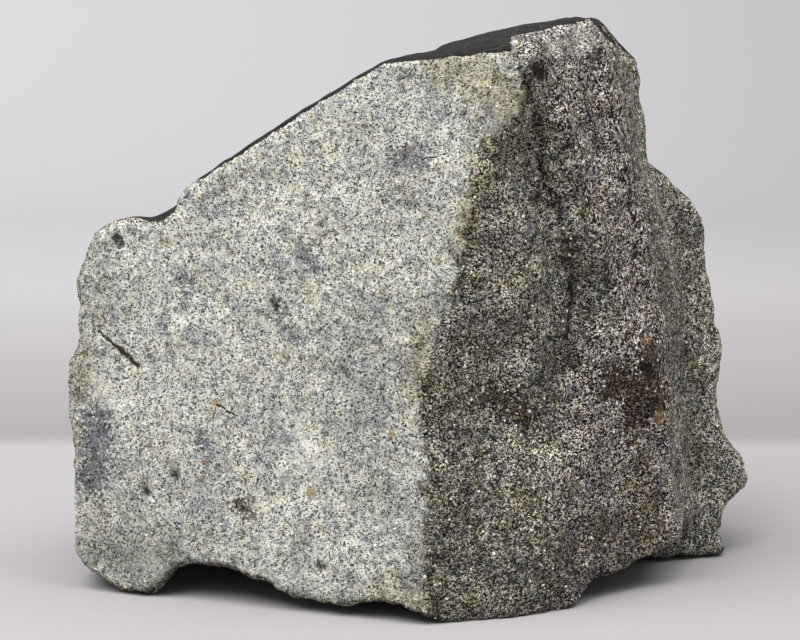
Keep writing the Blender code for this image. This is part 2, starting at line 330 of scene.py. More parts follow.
def smooth_step(value, low, high):
    share = np.clip((value - low) / (high - low), 0, 1)
    return share * share * (3 - 2 * share)


def linear(colour):
    """The linear colour of an sRGB hex value such as "a8a99b"."""
    parts = [int(colour[start:start + 2], 16) / 255 for start in (0, 2, 4)]
    return tuple(
        part / 12.92 if part <= 0.04045 else ((part + 0.055) / 1.055) ** 2.4 for part in parts
    ) + (1,)


def add_node(tree, kind, inputs, output=0, stops=(), **settings):
    """Add a node and return one of its outputs.

    Inputs are given by name or number, and one that is given a socket is linked to it.
    The stops are the places and colours along a colour ramp.
    """
    node = tree.nodes.new(kind)
    for name, setting in settings.items():
        setattr(node, name, setting)
    for name, value in inputs.items():
        if isinstance(value, bpy.types.NodeSocket):
            tree.links.new(value, node.inputs[name])
        else:
            node.inputs[name].default_value = value
    if stops:
        elements = node.color_ramp.elements
        elements.remove(elements[1])
        elements[0].position = stops[0][0]
        elements[0].color = linear(stops[0][1])
    for place, colour in stops[1:]:
        elements.new(place).color = linear(colour)
    return node.outputs[output] if node.outputs else None


# The stone's shape
def distance_to_face(points, face):
    place, way = face
    return (points - np.array(place)) @ looks_along(way)


def farthest_out(points, faces):
    return np.max([distance_to_face(points, face) for face in faces], axis=0)


def facing(normals, faces):
    return np.max([normals @ looks_along(way) for place, way in faces], axis=0)


def fractal_heights(points, size, layers, stretch=1):
    """Uneven heights of about -1 to 1. A stretch makes the lumps that much taller."""
    scale = np.array((1, 1, 1 / stretch)) / size
    return np.array([
        noise.fractal(Vector(point), LAYER_FADE, LAYER_STEP, layers) for point in points * scale
    ])


def side_of_break(points, normals):
    """Above zero where the stone is broken and below zero on the melted skin."""
    nearest = np.full(len(points), np.inf)
    past = np.zeros(len(points))
    turned = np.zeros(len(points))
    wander = [
        fractal_heights(points + WANDER_SPACING * axis, SKIN_EDGE_SIZE, ROUGH_LAYERS)
        for axis in range(3)
    ]
    reach = SKIN_EDGE_WANDER * smooth_step(points[:, 1], *WANDER_STARTS)
    points = points + reach[:, None] * np.stack(wander, axis=1)
    for low, high, breaks, skin in BLOCKS:
        from_breaks = farthest_out(points, breaks)
        from_skin = farthest_out(points, skin)
        from_box = np.maximum(np.array(low) - points, points - np.array(high)).max(axis=1)
        outside = np.maximum.reduce([from_breaks, from_skin, from_box])
        closer = outside < nearest
        past[closer] = (from_breaks - from_skin)[closer]
        turned[closer] = (facing(normals, breaks) - facing(normals, skin))[closer]
        nearest = np.minimum(outside, nearest)
    # Near the edge the surface's own slope says which side it is on.
    far = smooth_step(np.abs(past), *SLOPE_DECIDES)
    side = far * np.sign(past) + (1 - far) * turned
    right, front, top = BROKEN_CORNER
    corner = (points[:, 0] > right) & (points[:, 1] < front) & (points[:, 2] < top)
    chip_right, chip_front = CHIP_CORNER
    crown = (points[:, 0] > chip_right) & (points[:, 1] < chip_front)
    chipped = crown & (distance_to_face(points, CHIP_PLANE) > 0)
    left_over = crown & ~chipped & (points[:, 0] < CHIP_END)
    crest_left, crest_front = CRESTED_CORNER
    crested = (points[:, 0] < crest_left) & (points[:, 1] < crest_front)
    crest = crested & (normals @ looks_along(CREST_WAY) > CREST_FACING)
    return np.where(corner | chipped | crest, 1, np.where(left_over, -1, side))


def distance_past_break(mesh, points, normals):
    """How far each point lies past the edge of the melted skin, negative on the skin."""
    side = side_of_break(points, normals)
    ends = np.empty(len(mesh.edges) * 2, int)
    mesh.edges.foreach_get("vertices", ends)
    first, second = ends.reshape(-1, 2).T
    crossed = (side[first] > 0) != (side[second] > 0)
    first = first[crossed]
    second = second[crossed]
    share = side[first] / (side[first] - side[second])
    line = points[first] + share[:, None] * (points[second] - points[first])
    tree = KDTree(len(line))
    for index, point in enumerate(line):
        tree.insert(point, index)
    tree.balance()
    distance = np.array([tree.find(point)[2] for point in points])
    return np.where(side > 0, distance, -distance)


def distance_to_marks(points, marks):
    """Distance of each point from the nearest mark's edge, negative on a mark."""
    nearest = np.full(len(points), np.inf)
    for start, end, half_width in marks:
        start = np.array(start, float)
        along = np.array(end) - start
        share = np.clip((points - start) @ along / (along @ along), 0, 1)
        distance = np.linalg.norm(points - start - share[:, None] * along, axis=1)
        nearest = np.minimum(distance - half_width, nearest)
    return nearest


def read_points(mesh):
    points = np.empty(len(mesh.vertices) * 3)
    mesh.vertices.foreach_get("co", points)
    return points.reshape(-1, 3) / MM + np.array(PLAN_MIDDLE)


def write_points(mesh, points):
    mesh.vertices.foreach_set("co", ((points - np.array(PLAN_MIDDLE)) * MM).ravel())
    mesh.update()


def read_normals(mesh):
    normals = np.empty(len(mesh.vertices) * 3)
    mesh.vertices.foreach_get("normal", normals)
    return normals.reshape(-1, 3)


def add_attribute(mesh, name, values):
    attribute = mesh.attributes.new(name, "FLOAT", "POINT")
    attribute.data.foreach_set("value", np.asarray(values, np.float32))


def even_mesh(node):
    """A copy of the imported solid's mesh, merged, meshed evenly and rounded a little."""
    bm = bmesh.new()
    bm.from_mesh(node.data)
    bmesh.ops.remove_doubles(bm, verts=bm.verts, dist=SAME_CORNER * MM)
    mesh = bpy.data.meshes.new("stone_surface")
    bm.to_mesh(mesh)
    bm.free()
    rough = bpy.data.objects.new("rough_surface", mesh)
    bpy.context.scene.collection.objects.link(rough)
    even = rough.modifiers.new("even_mesh", "REMESH")
    even.mode = "VOXEL"
    even.voxel_size = VOXEL * MM
    rounding = rough.modifiers.new("rounded_edges", "SMOOTH")
    rounding.factor = ROUNDING_FACTOR
    rounding.iterations = ROUNDING_STEPS
    depsgraph = bpy.context.evaluated_depsgraph_get()
    surface = bpy.data.meshes.new_from_object(rough.evaluated_get(depsgraph))
    bpy.data.objects.remove(rough)
    return surface


def bright_share(points, normals):
    """1 on the bright face and its knob, 0 past their edges."""
    knob = smooth_step(points[:, 2], *KNOB_UP) * smooth_step(points[:, 0], *KNOB_ACROSS)
    turned = normals @ looks_along(BRIGHT_FACE[1]) + KNOB_TURN * knob
    edge = np.interp(points[:, 2], BRIGHT_EDGE_HEIGHTS, BRIGHT_EDGE_PLACES)
    edge += EDGE_WANDER * fractal_heights(points, EDGE_WANDER_SIZE, ROUGH_LAYERS)
    past_edge = smooth_step(points[:, 0] - edge, -EDGE_HALF_WIDTH, EDGE_HALF_WIDTH)
    return smooth_step(turned, *TURNED_TO_LIGHT) * (1 - past_edge)


def relief_heights(points, broken, dark, inside_band, fibrous):
    """How far each point moves out, on the breaks and on the melted skin."""
    hackle = fractal_heights(points, HACKLE_SIZE, ROUGH_LAYERS)
    relief = broken * (HACKLE_HEIGHT + HACKLE_ON_DARK * dark) * hackle
    chips = fractal_heights(points, CHIP_SIZE, SMOOTH_LAYERS)
    relief += broken * (CHIP_HEIGHT + CHIP_ON_DARK * dark) * chips
    grooves = fractal_heights(points, GROOVE_SIZE, SMOOTH_LAYERS, GROOVE_STRETCH)
    relief += broken * dark * GROOVE_HEIGHT * grooves
    relief += fibrous * FIBRE_HEIGHT * fractal_heights(
        points, FIBRE_SIZE, SMOOTH_LAYERS, FIBRE_STRETCH,
    )
    step = np.clip(inside_band / BAND_STEP_WIDTH, -1, 1)
    proud = step * (1 - smooth_step(np.abs(inside_band), *BAND_STEP_FADES))
    relief += broken * dark * BAND_STEP * proud
    relief += (1 - broken) * SKIN_HEIGHT * hackle
    for marks, depth in ((SHADED_PITS, PIT_DEPTH), (CRACKS, CRACK_DEPTH)):
        relief -= depth * (1 - smooth_step(distance_to_marks(points, marks), *MARK_SLOPE))
    return relief


def shape_surface(mesh):
    """Give the surface its relief, and keep what the material and the grains read."""
    points = read_points(mesh)
    normals = read_normals(mesh)
    past = distance_past_break(mesh, points, normals)
    on_bright = bright_share(points, normals)
    height = distance_to_face(points, BRIGHT_FACE)
    close = 1 - smooth_step(np.abs(height), *CLOSE_TO_FACE)
    lowered = BRIGHT_FACE_FLATTENED * on_bright * close * height
    points -= lowered[:, None] * looks_along(BRIGHT_FACE[1])
    beside_band = farthest_out(points, (BRIGHT_FACE, SHADOW_FACE) + SIDE_FACES)
    inside_band = distance_to_face(points, BAND_FACE) - beside_band
    band = smooth_step(inside_band, *BAND_EDGE)
    fibrous = band * smooth_step(points[:, 2], *FIBRES_UP)
    broken = smooth_step(past, *BREAK_EDGE)
    relief = relief_heights(points, broken, 1 - on_bright, inside_band, fibrous)

    foot = smooth_step(points[:, 0], *FOOT_ACROSS) * (1 - smooth_step(points[:, 2], *FOOT_UP))
    foot *= smooth_step(-points[:, 1], *FOOT_FORWARD)
    crowded = SPLINTERS_AT_EDGE - FEWER_INSIDE * smooth_step(inside_band, *SPLINTERS_THIN_OUT)
    clear = smooth_step(past, *CLEAR_OF_SKIN)
    clear *= smooth_step(distance_to_marks(points, SHADED_PITS), *CLEAR_OF_PITS)
    clear *= 1 - FEWER_ON_BRIGHT * on_bright
    add_attribute(mesh, "past_the_break", past)
    add_attribute(mesh, "on_bright_face", on_bright)
    add_attribute(mesh, "on_band", np.maximum(band, foot))
    add_attribute(mesh, "splinter_share", fibrous * crowded)
    for name, marks in MARKS.items():
        add_attribute(mesh, name, distance_to_marks(points, marks))
    add_attribute(mesh, "grain_share", clear * smooth_step(normals[:, 2], *LOOKS_DOWN))

    points += relief[:, None] * normals
    # The relief doesn't reach below the floor that the stone rests on.
    points[:, 2] = np.maximum(points[:, 2], 0)
    write_points(mesh, points)


# The stone's material: an LL chondrite, which is olivine and pyroxene crystals and round
# chondrules in a fine grey matrix. A fracture through it is matt and granular, a mix of
# pale, grey and near-black grains with few metal flecks. Its melted skin is a dull
# brown-black glass. Chondrules and larger crystals are 0.2 to 0.9 mm wide, clumps of like
# grains 2 to 3 mm, stains about 5 mm and wide fields about 11 mm. A scale is how many of
# them go into a millimetre. The finest crystals are too small to show, so none is drawn
# less than 0.3 mm wide.
CRYSTALS = {"Scale": 3.0}
SPLINTERS = {"Scale": 2.7}
SPLINTER_PATCHES = {"Scale": 0.42, "Detail": 1}
LIKE_GRAINS = {"Scale": 1.1, "Detail": 3, "Roughness": 0.8}
CLUMPS = {"Scale": 0.42, "Detail": 3, "Roughness": 0.65}
STREAKS = {"Scale": 0.33, "Detail": 4, "Roughness": 0.65}
VEINS = {"Scale": 0.2, "Detail": 4, "Roughness": 0.7}
FIELDS = {"Scale": 0.09, "Detail": 3, "Roughness": 0.6}
SPECKS = {"Scale": 1.6, "Detail": 1.5, "Roughness": 0.6}
WORMS = {"Scale": 0.7, "Detail": 2, "Roughness": 0.55, "Distortion": 0.6}
SPOTS = {"Scale": 0.4, "Detail": 3, "Roughness": 0.7}
RAGGED_EDGES = {"Scale": 0.75, "Detail": 3, "Roughness": 0.75}
CRACK_BENDS = {"Scale": 0.6, "Detail": 3}
SKIN_WRINKLES = {"Scale": 0.35, "Detail": 5, "Roughness": 0.7}
SKIN_CRACK_NET = {"Scale": 0.1, "Randomness": 1}
BEAD_MOTTLE = {"Scale": 3.0, "Detail": 2}
# Upright patterns are read with Z squashed by this much, which stretches them upwards.
FIBRE_SQUASH = 0.35
STREAK_SQUASH = 0.28

# How a pattern becomes a mask or a shade: what goes in, and what comes out for it.
SPLINTER_PATCH_SHARE = {"From Min": 0.4, "From Max": 0.55}
# How far like grains are shifted in tone together, in the shade and on the bright face.
LIKE_GRAIN_SHIFT = {"To Min": 1.25, "To Max": 0.35}
STREAK_SHADE = {"From Min": 0.33, "From Max": 0.67, "To Min": 0.6, "To Max": 1.3}
# How strong the stains are, in the shade and on the bright face.
VEIN_SHARE = {"To Min": 0.85, "To Max": 0.5}
SPECK_SHARE = {"From Min": 0.39, "From Max": 0.35, "To Max": 0.9}
WORM_SHARE = {"From Min": 0.022, "From Max": 0.009, "To Max": 0.8}
WORMY_CLUMPS = {"From Min": 0.5, "From Max": 0.42}
SPOT_SHARE = {"From Min": 0.66, "From Max": 0.70, "To Max": 0.75}
PALE_GRAIN_SHARE = {"From Min": 0.65, "From Max": 0.69, "To Max": 0.6}
SKIN_SHARE = {"From Min": -0.08, "From Max": 0.08}
SKIN_CRACK_SHARE = {"From Min": 0.022, "From Max": 0.008, "To Max": 0.4}
BEAD_SHADE = {"From Min": 0.3, "From Max": 0.65, "To Min": 0.45, "To Max": 1.1}
NOISE_MIDDLE = 0.5
# The skin's edge strays past the break by the clumps' value times the first, plus the
# second, in millimetres.
SKIN_RAGGEDNESS = 2.2
SKIN_OVERLAP = -0.75
# Cracks bend aside by up to this much, and fade out between these times their half width.
CRACK_BEND = 0.8
CRACK_FADES = (1.35, 0.65)

STONE_IOR = 1.5
ROCK_ROUGHNESS = 0.88
SKIN_ROUGHNESS = 0.78
BEAD_ROUGHNESS = 0.7
DULL_SHINE = 0.2
# The finest relief is this high, with the specks and the skin's cracks sunk into it.
GRAIN_RELIEF = 0.7
SPECK_SINKS = -0.5
SKIN_CRACK_SINKS = -0.4

# The rock's tones: pale on the bright face, darker and harsher on the faces turned from the
# light. They are partly lit and shaded copies of one rock, painted light and shade, and partly
# the shaded faces' own darker rock. The band's near-black and near-white grains are painted
# shadows and glints of raking light.
PALE_LIT_ROCK = (
    (0.0, "1f1d19"), (0.1, "686760"), (0.22, "adada6"), (0.5, "cacac4"), (0.85, "dadad5"),
    (1.0, "f4f4f1"),
)
OLIVE_SHADED_ROCK = (
    (0.0, "040303"), (0.25, "1c1a15"), (0.44, "605c52"), (0.62, "bbb5a8"), (0.8, "f0ecdf"),
    (1.0, "fefbf2"),
)
BAND_ROCK_IN_SHADE = (
    (0.0, "010101"), (0.36, "0c0909"), (0.48, "463d3a"), (0.6, "baa9a2"), (0.72, "fff4ef"),
    (1.0, "fffaf7"),
)
CLUMP_TINTS = ((0.28, "a6a9b2"), (0.42, "dbdddf"), (0.54, "fbfbf9"), (0.70, "fffdf4"))
VEIN_TINTS = (
    (0.32, "8f94a6"), (0.43, "e8eaed"), (0.5, "ffffff"), (0.57, "efecdc"), (0.68, "b0a484"),
)
FIELD_SHADES = ((0.3, "cfd0d4"), (0.5, "f4f4f2"), (0.7, "fffefa"))
SKIN_TONES = ((0.3, "060505"), (0.46, "0c0b0a"), (0.6, "181512"), (0.72, "352b22"))
SPECK_COLOUR = "2b241d"
WORM_COLOUR = "45403a"
SPOT_COLOUR = "54452f"
PALE_GRAIN_COLOUR = "dcd8c6"
CRACK_COLOUR = "2e2620"
SKIN_CRACK_COLOUR = "3a332c"

# How each kind of mark is painted: its strength, how soft its edge is in millimetres,
# how ragged its edge is, its colour and how the colour goes on.
MARK_PAINTS = (
    # Of these, the seam's line is a painted shadow, and the darker rock, the trough and the
    # insides of the pits are painted shade.
    ("from_seam_shadow", 0.95, 0.7, 5, "38322e", "MULTIPLY"),
    ("from_painted_shade", 0.8, 6.0, 30, "b0afac", "MULTIPLY"),
    ("from_trough_shade", 0.45, 4.0, 30, "c6c8ce", "MULTIPLY"),
    ("from_pale_patches", 0.25, 2.4, 24, "e6e3d8", "MIX"),
    ("from_olive_stains", 0.6, 2.6, 26, "d3c69c", "MULTIPLY"),
    ("from_blue_clasts", 0.85, 1.2, 18, "8f94a2", "MULTIPLY"),
    ("from_brown_stains", 0.9, 0.8, 20, "7d6650", "MULTIPLY"),
    ("from_shaded_pits", 0.9, 0.4, 3, "1c1815", "MIX"),
    ("from_rust_spots", 0.7, 0.4, 4, "8f6a35", "MIX"),
)


def place_in_mm(tree):
    """Each point's place in the design frame."""
    place = add_node(tree, "ShaderNodeTexCoord", {}, "Object")
    return add_node(
        tree, "ShaderNodeVectorMath", {0: place, 1: (1 / MM,) * 3, 2: PLAN_MIDDLE},
        operation="MULTIPLY_ADD",
    )


def crystal_pattern(tree, place):
    """A value for each crystal, from 0 to 1. On the band some are upright splinters."""
    grain = add_node(tree, "ShaderNodeTexVoronoi", {"Vector": place, **CRYSTALS}, "Color")
    upright = add_node(
        tree, "ShaderNodeVectorMath", {0: place, 1: (1, 1, FIBRE_SQUASH)}, operation="MULTIPLY",
    )
    splinter = add_node(tree, "ShaderNodeTexVoronoi", {"Vector": upright, **SPLINTERS}, "Color")
    band = add_node(tree, "ShaderNodeAttribute", {}, "Fac", attribute_name="splinter_share")
    patchy = add_node(tree, "ShaderNodeTexNoise", {"Vector": upright, **SPLINTER_PATCHES})
    share = add_node(tree, "ShaderNodeMapRange", {"Value": patchy, **SPLINTER_PATCH_SHARE})
    share = add_node(tree, "ShaderNodeMath", {0: band, 1: share}, operation="MULTIPLY")
    colour = add_node(
        tree, "ShaderNodeMix", {SHARE: share, UNDER: grain, OVER: splinter}, MIXED,
        data_type="RGBA",
    )
    crystals = add_node(tree, "ShaderNodeSeparateColor", {0: colour}, "Red")
    # Crystals of like tone lie together, so an unevenness wider than they are shifts them.
    uneven = add_node(tree, "ShaderNodeTexNoise", {"Vector": place, **LIKE_GRAINS})
    bright = add_node(tree, "ShaderNodeAttribute", {}, "Fac", attribute_name="on_bright_face")
    most = add_node(tree, "ShaderNodeMapRange", {"Value": bright, **LIKE_GRAIN_SHIFT})
    shift = add_node(tree, "ShaderNodeMath", {0: uneven, 1: -NOISE_MIDDLE}, operation="ADD")
    shift = add_node(tree, "ShaderNodeMath", {0: shift, 1: most}, operation="MULTIPLY")
    return add_node(
        tree, "ShaderNodeMath", {0: crystals, 1: shift}, operation="ADD", use_clamp=True,
    )


def rock_colour(tree, place, crystals, clumps):
    """The matrix with its crystals, tinted in clumps and shaded in wide fields. It is painted
    pale on the bright face and darker on the faces turned from the light: painted light and
    shade, over the shaded faces' own darker rock.
    """
    bright = add_node(tree, "ShaderNodeAttribute", {}, "Fac", attribute_name="on_bright_face")
    band = add_node(tree, "ShaderNodeAttribute", {}, "Fac", attribute_name="on_band")
    # Lit and shaded copies of the rock, painted light and shade: pale where the face turns to the
    # light, darker and harsher on the faces turned from it.
    pale = add_node(tree, "ShaderNodeValToRGB", {0: crystals}, stops=PALE_LIT_ROCK)
    olive = add_node(tree, "ShaderNodeValToRGB", {0: crystals}, stops=OLIVE_SHADED_ROCK)
    sharp = add_node(tree, "ShaderNodeValToRGB", {0: crystals}, stops=BAND_ROCK_IN_SHADE)
    dark = add_node(
        tree, "ShaderNodeMix", {SHARE: band, UNDER: olive, OVER: sharp}, MIXED, data_type="RGBA",
    )
    # Upright streaks, lighter and darker, run down the darker faces: painted light and shade of
    # upright grooves.
    upright = add_node(
        tree, "ShaderNodeVectorMath", {0: place, 1: (1, 1, STREAK_SQUASH)}, operation="MULTIPLY",
    )
    streaks = add_node(tree, "ShaderNodeTexNoise", {"Vector": upright, **STREAKS})
    streaks = add_node(tree, "ShaderNodeMapRange", {"Value": streaks, **STREAK_SHADE})
    dark = add_node(tree, "ShaderNodeVectorMath", {0: dark, "Scale": streaks}, operation="SCALE")
    rock = add_node(
        tree, "ShaderNodeMix", {SHARE: bright, UNDER: dark, OVER: pale}, MIXED, data_type="RGBA",
    )
    tint = add_node(tree, "ShaderNodeValToRGB", {0: clumps}, stops=CLUMP_TINTS)
    rock = add_node(
        tree, "ShaderNodeMix", {SHARE: 1, UNDER: rock, OVER: tint}, MIXED,
        data_type="RGBA", blend_type="MULTIPLY",
    )
    # Bluish, olive and brown stains run through it, most of all on the darker faces.
    veins = add_node(tree, "ShaderNodeTexNoise", {"Vector": place, **VEINS})
    tint = add_node(tree, "ShaderNodeValToRGB", {0: veins}, stops=VEIN_TINTS)
    share = add_node(tree, "ShaderNodeMapRange", {"Value": bright, **VEIN_SHARE})
    rock = add_node(
        tree, "ShaderNodeMix", {SHARE: share, UNDER: rock, OVER: tint}, MIXED,
        data_type="RGBA", blend_type="MULTIPLY",
    )
    fields = add_node(tree, "ShaderNodeTexNoise", {"Vector": place, **FIELDS})
    shade = add_node(tree, "ShaderNodeValToRGB", {0: fields}, stops=FIELD_SHADES)
    return add_node(
        tree, "ShaderNodeMix", {SHARE: 1, UNDER: rock, OVER: shade}, MIXED,
        data_type="RGBA", blend_type="MULTIPLY",
    )


def dark_specks(tree, place):
    """A mask of the sparse near-black grains."""
    specks = add_node(tree, "ShaderNodeTexNoise", {"Vector": place, **SPECKS})
    return add_node(tree, "ShaderNodeMapRange", {"Value": specks, **SPECK_SHARE})


def paint_specks_and_worms(tree, rock, place, specks, clumps):
    """Dark specks, short worm-like dark lines, brown spots and pale grains."""
    bent = add_node(tree, "ShaderNodeTexNoise", {"Vector": place, **WORMS})
    worms = add_node(tree, "ShaderNodeMath", {0: bent, 1: NOISE_MIDDLE}, operation="SUBTRACT")
    worms = add_node(tree, "ShaderNodeMath", {0: worms}, operation="ABSOLUTE")
    worms = add_node(tree, "ShaderNodeMapRange", {"Value": worms, **WORM_SHARE})
    here = add_node(tree, "ShaderNodeMapRange", {"Value": clumps, **WORMY_CLUMPS})
    worms = add_node(tree, "ShaderNodeMath", {0: worms, 1: here}, operation="MULTIPLY")
    spots = add_node(tree, "ShaderNodeTexNoise", {"Vector": place, **SPOTS})
    spots = add_node(tree, "ShaderNodeMapRange", {"Value": spots, **SPOT_SHARE})
    pale = add_node(tree, "ShaderNodeMapRange", {"Value": bent, **PALE_GRAIN_SHARE})
    paints = (
        (specks, SPECK_COLOUR), (worms, WORM_COLOUR), (spots, SPOT_COLOUR),
        (pale, PALE_GRAIN_COLOUR),
    )
    for share, colour in paints:
        rock = add_node(
            tree, "ShaderNodeMix", {SHARE: share, UNDER: rock, OVER: linear(colour)}, MIXED,
            data_type="RGBA",
        )
    return rock


def paint_marks(tree, rock, place):
    """The clasts, stains and rust spots, the painted shade of the pits, trough and recesses,
    and the seam's painted shadow, each with a ragged and broken-up edge.
    """
    uneven = add_node(tree, "ShaderNodeTexNoise", {"Vector": place, **RAGGED_EDGES})
    uneven = add_node(tree, "ShaderNodeMath", {0: uneven, 1: NOISE_MIDDLE}, operation="SUBTRACT")
    for name, strength, softness, raggedness, colour, way in MARK_PAINTS:
        distance = add_node(tree, "ShaderNodeAttribute", {}, "Fac", attribute_name=name)
        edge = add_node(
            tree, "ShaderNodeMath", {0: uneven, 1: raggedness, 2: distance},
            operation="MULTIPLY_ADD",
        )
        share = add_node(
            tree, "ShaderNodeMapRange",
            {"Value": edge, "From Min": softness, "From Max": -softness, "To Max": strength},
        )
        rock = add_node(
            tree, "ShaderNodeMix", {SHARE: share, UNDER: rock, OVER: linear(colour)}, MIXED,
            data_type="RGBA", blend_type=way,
        )
    return rock


def crack_share(tree, place):
    """A mask of the needle and the thin cracks, which are finer than the mesh."""
    bends = add_node(tree, "ShaderNodeTexNoise", {"Vector": place, **CRACK_BENDS}, "Color")
    bends = add_node(
        tree, "ShaderNodeVectorMath", {0: bends, 1: (2 * CRACK_BEND,) * 3, 2: (-CRACK_BEND,) * 3},
        operation="MULTIPLY_ADD",
    )
    place = add_node(tree, "ShaderNodeVectorMath", {0: place, 1: bends}, operation="ADD")
    outer, inner = CRACK_FADES
    total = 0.0
    for start, end, half_width in CRACKS:
        along = Vector(end) - Vector(start)
        offset = add_node(
            tree, "ShaderNodeVectorMath", {0: place, 1: start}, operation="SUBTRACT",
        )
        share = add_node(
            tree, "ShaderNodeVectorMath", {0: offset, 1: along / along.length_squared}, "Value",
            operation="DOT_PRODUCT",
        )
        share = add_node(tree, "ShaderNodeClamp", {0: share})
        foot = add_node(
            tree, "ShaderNodeVectorMath", {0: along, "Scale": share}, operation="SCALE",
        )
        distance = add_node(
            tree, "ShaderNodeVectorMath", {0: offset, 1: foot}, "Value", operation="DISTANCE",
        )
        mask = add_node(
            tree, "ShaderNodeMapRange",
            {"Value": distance, "From Min": half_width * outer, "From Max": half_width * inner},
        )
        total = add_node(tree, "ShaderNodeMath", {0: mask, 1: total}, operation="MAXIMUM")
    return total


def skin_share(tree, clumps):
    """1 on the melted skin, 0 past its ragged edge."""
    past = add_node(tree, "ShaderNodeAttribute", {}, "Fac", attribute_name="past_the_break")
    edge = add_node(
        tree, "ShaderNodeMath", {0: clumps, 1: SKIN_RAGGEDNESS, 2: SKIN_OVERLAP},
        operation="MULTIPLY_ADD",
    )
    edge = add_node(tree, "ShaderNodeMath", {0: edge, 1: past}, operation="SUBTRACT")
    return add_node(tree, "ShaderNodeMapRange", {"Value": edge, **SKIN_SHARE})


def skin_cracks(tree, place):
    """The thin cracks that the skin drew together into as it cooled, about 10 mm apart."""
    from_crack = add_node(
        tree, "ShaderNodeTexVoronoi", {"Vector": place, **SKIN_CRACK_NET},
        feature="DISTANCE_TO_EDGE",
    )
    return add_node(tree, "ShaderNodeMapRange", {"Value": from_crack, **SKIN_CRACK_SHARE})


def stone_material():
    """Broken LL chondrite with what is left of its melted skin."""
    material = bpy.data.materials.new("broken_chondrite")
    material.use_nodes = True
    tree = material.node_tree
    tree.nodes.clear()
    place = place_in_mm(tree)
    crystals = crystal_pattern(tree, place)
    clumps = add_node(tree, "ShaderNodeTexNoise", {"Vector": place, **CLUMPS})
    specks = dark_specks(tree, place)
    rock = rock_colour(tree, place, crystals, clumps)
    rock = paint_specks_and_worms(tree, rock, place, specks, clumps)
    rock = paint_marks(tree, rock, place)
    cracks = crack_share(tree, place)
    rock = add_node(
        tree, "ShaderNodeMix", {SHARE: cracks, UNDER: rock, OVER: linear(CRACK_COLOUR)}, MIXED,
        data_type="RGBA",
    )

    wrinkles = add_node(tree, "ShaderNodeTexNoise", {"Vector": place, **SKIN_WRINKLES})
    split = skin_cracks(tree, place)
    skin_tone = add_node(tree, "ShaderNodeValToRGB", {0: wrinkles}, stops=SKIN_TONES)
    skin_tone = add_node(
        tree, "ShaderNodeMix", {SHARE: split, UNDER: skin_tone, OVER: linear(SKIN_CRACK_COLOUR)},
        MIXED, data_type="RGBA",
    )
    skin = skin_share(tree, clumps)
    colour = add_node(
        tree, "ShaderNodeMix", {SHARE: skin, UNDER: rock, OVER: skin_tone}, MIXED,
        data_type="RGBA",
    )
    roughness = add_node(
        tree, "ShaderNodeMapRange",
        {"Value": skin, "To Min": ROCK_ROUGHNESS, "To Max": SKIN_ROUGHNESS},
    )

    rock_height = add_node(
        tree, "ShaderNodeMath", {0: specks, 1: SPECK_SINKS, 2: crystals},
        operation="MULTIPLY_ADD",
    )
    skin_height = add_node(
        tree, "ShaderNodeMath", {0: split, 1: SKIN_CRACK_SINKS, 2: wrinkles},
        operation="MULTIPLY_ADD",
    )
    height = add_node(
        tree, "ShaderNodeMix", {SHARE: skin, VALUE_UNDER: rock_height, VALUE_OVER: skin_height},
    )
    bump = add_node(
        tree, "ShaderNodeBump", {"Height": height, "Strength": 1, "Distance": GRAIN_RELIEF * MM},
    )
    shader = add_node(
        tree, "ShaderNodeBsdfPrincipled",
        {
            "Base Color": colour, "Normal": bump, "Roughness": roughness, "IOR": STONE_IOR,
            "Specular IOR Level": DULL_SHINE,
        },
    )
    add_node(tree, "ShaderNodeOutputMaterial", {"Surface": shader})
    return material


# Chondrules and larger crystals: glassy silicate beads broken free of the matrix, from
# cream through grey to near-black, with a few blue-grey ones and a rusty one now and then.
GRAIN_TONES = (
    (0.0, "2c2926"), (0.2, "5d5a54"), (0.3, "9a9990"), (0.5, "bdbcb2"), (0.72, "d6d3c7"),
    (0.84, "8f939b"), (0.95, "8f939b"), (0.97, "8a7352"), (1.0, "75603f"),
)
GRAIN_TONES_IN_SHADE = (
    (0.0, "141211"), (0.3, "2b2825"), (0.5, "5f5a52"), (0.7, "98928a"), (0.86, "e4dfd4"),
    (0.95, "857f7a"), (1.0, "5e4127"),
)


def grain_material():
    """Silicate beads with a slightly glassy, uneven surface."""
    material = bpy.data.materials.new("silicate_grains")
    material.use_nodes = True
    tree = material.node_tree
    tree.nodes.clear()
    tone = add_node(tree, "ShaderNodeAttribute", {}, "Fac", attribute_name="grain_tone")
    bright = add_node(tree, "ShaderNodeAttribute", {}, "Fac", attribute_name="on_bright_face")
    pale = add_node(tree, "ShaderNodeValToRGB", {0: tone}, stops=GRAIN_TONES)
    dark = add_node(tree, "ShaderNodeValToRGB", {0: tone}, stops=GRAIN_TONES_IN_SHADE)
    # Grains off the bright face take the darker tones, a shaded copy: painted shade.
    colour = add_node(
        tree, "ShaderNodeMix", {SHARE: bright, UNDER: dark, OVER: pale}, MIXED, data_type="RGBA",
    )
    mottle = add_node(
        tree, "ShaderNodeTexNoise", {"Vector": place_in_mm(tree), **BEAD_MOTTLE},
    )
    mottle = add_node(tree, "ShaderNodeMapRange", {"Value": mottle, **BEAD_SHADE})
    colour = add_node(
        tree, "ShaderNodeVectorMath", {0: colour, "Scale": mottle}, operation="SCALE",
    )
    shader = add_node(
        tree, "ShaderNodeBsdfPrincipled",
        {"Base Color": colour, "Roughness": BEAD_ROUGHNESS, "IOR": STONE_IOR},
    )
    add_node(tree, "ShaderNodeOutputMaterial", {"Surface": shader})
    return material


